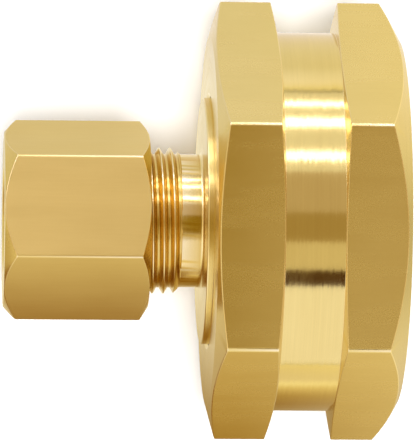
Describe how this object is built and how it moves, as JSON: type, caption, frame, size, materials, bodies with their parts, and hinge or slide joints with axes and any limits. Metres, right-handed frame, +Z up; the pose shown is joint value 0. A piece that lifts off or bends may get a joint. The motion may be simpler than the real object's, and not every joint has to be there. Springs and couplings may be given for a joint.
{
  "type": "swivel compression adapter",
  "caption": "Brass swivel compression adapter: a hexagonal compression nut grips a small tube, and a large double-hexagon swivel nut pulls its flat washer onto a threaded pipe end.",
  "frame": {"origin": "centre of the bounding box's bottom, under the fitting's axis, on the surface that the swivel nut's lower flat rests on", "axes": "+X along the fitting's axis towards the swivel nut's open end, +Z up out of the swivel nut's upper flat, +Y towards one of the swivel nut's corners"},
  "size_m": [0.0382, 0.0428, 0.037],
  "materials": {
    "swivel_nut": "machined, fine turning lines in the groove, drawn hexagon flats",
    "tailpiece": "machined, bright turned",
    "compression_nut": "machined, satin drawn flats",
    "compression_sleeve": "bright turned",
    "sealing_washer": "matt black"
  },
  "bodies": {
    "swivel_nut": {"swivel_nut": "swivel_nut"},
    "sealing_washer": {"sealing_washer": "sealing_washer"},
    "tailpiece": {"tailpiece": "tailpiece"},
    "compression_sleeve": {"compression_sleeve": "compression_sleeve"},
    "compression_nut": {"compression_nut": "compression_nut"}
  },
  "joints": [
    {"name": "tail_slide", "type": "slide", "parent": "swivel_nut", "child": "sealing_washer", "axis": [1, 0, 0], "range_m": [0, 0.022]},
    {"name": "swivel", "type": "hinge", "parent": "sealing_washer", "child": "tailpiece", "pos_m": [0, 0, 0.0185], "axis": [-1, 0, 0], "continuous": true},
    {"name": "sleeve_travel", "type": "slide", "parent": "tailpiece", "child": "compression_sleeve", "axis": [-1, 0, 0], "range_m": [0, 0.00745]},
    {"name": "compression_turn", "type": "hinge", "parent": "compression_sleeve", "child": "compression_nut", "pos_m": [-0.01205, 0, 0.0185], "axis": [-1, 0, 0], "range_deg": [0, 2520]}
  ],
  "couplings": [
    {"joint": "sleeve_travel", "follows": "compression_turn", "m_per_rad": 0.00016844}
  ]
}
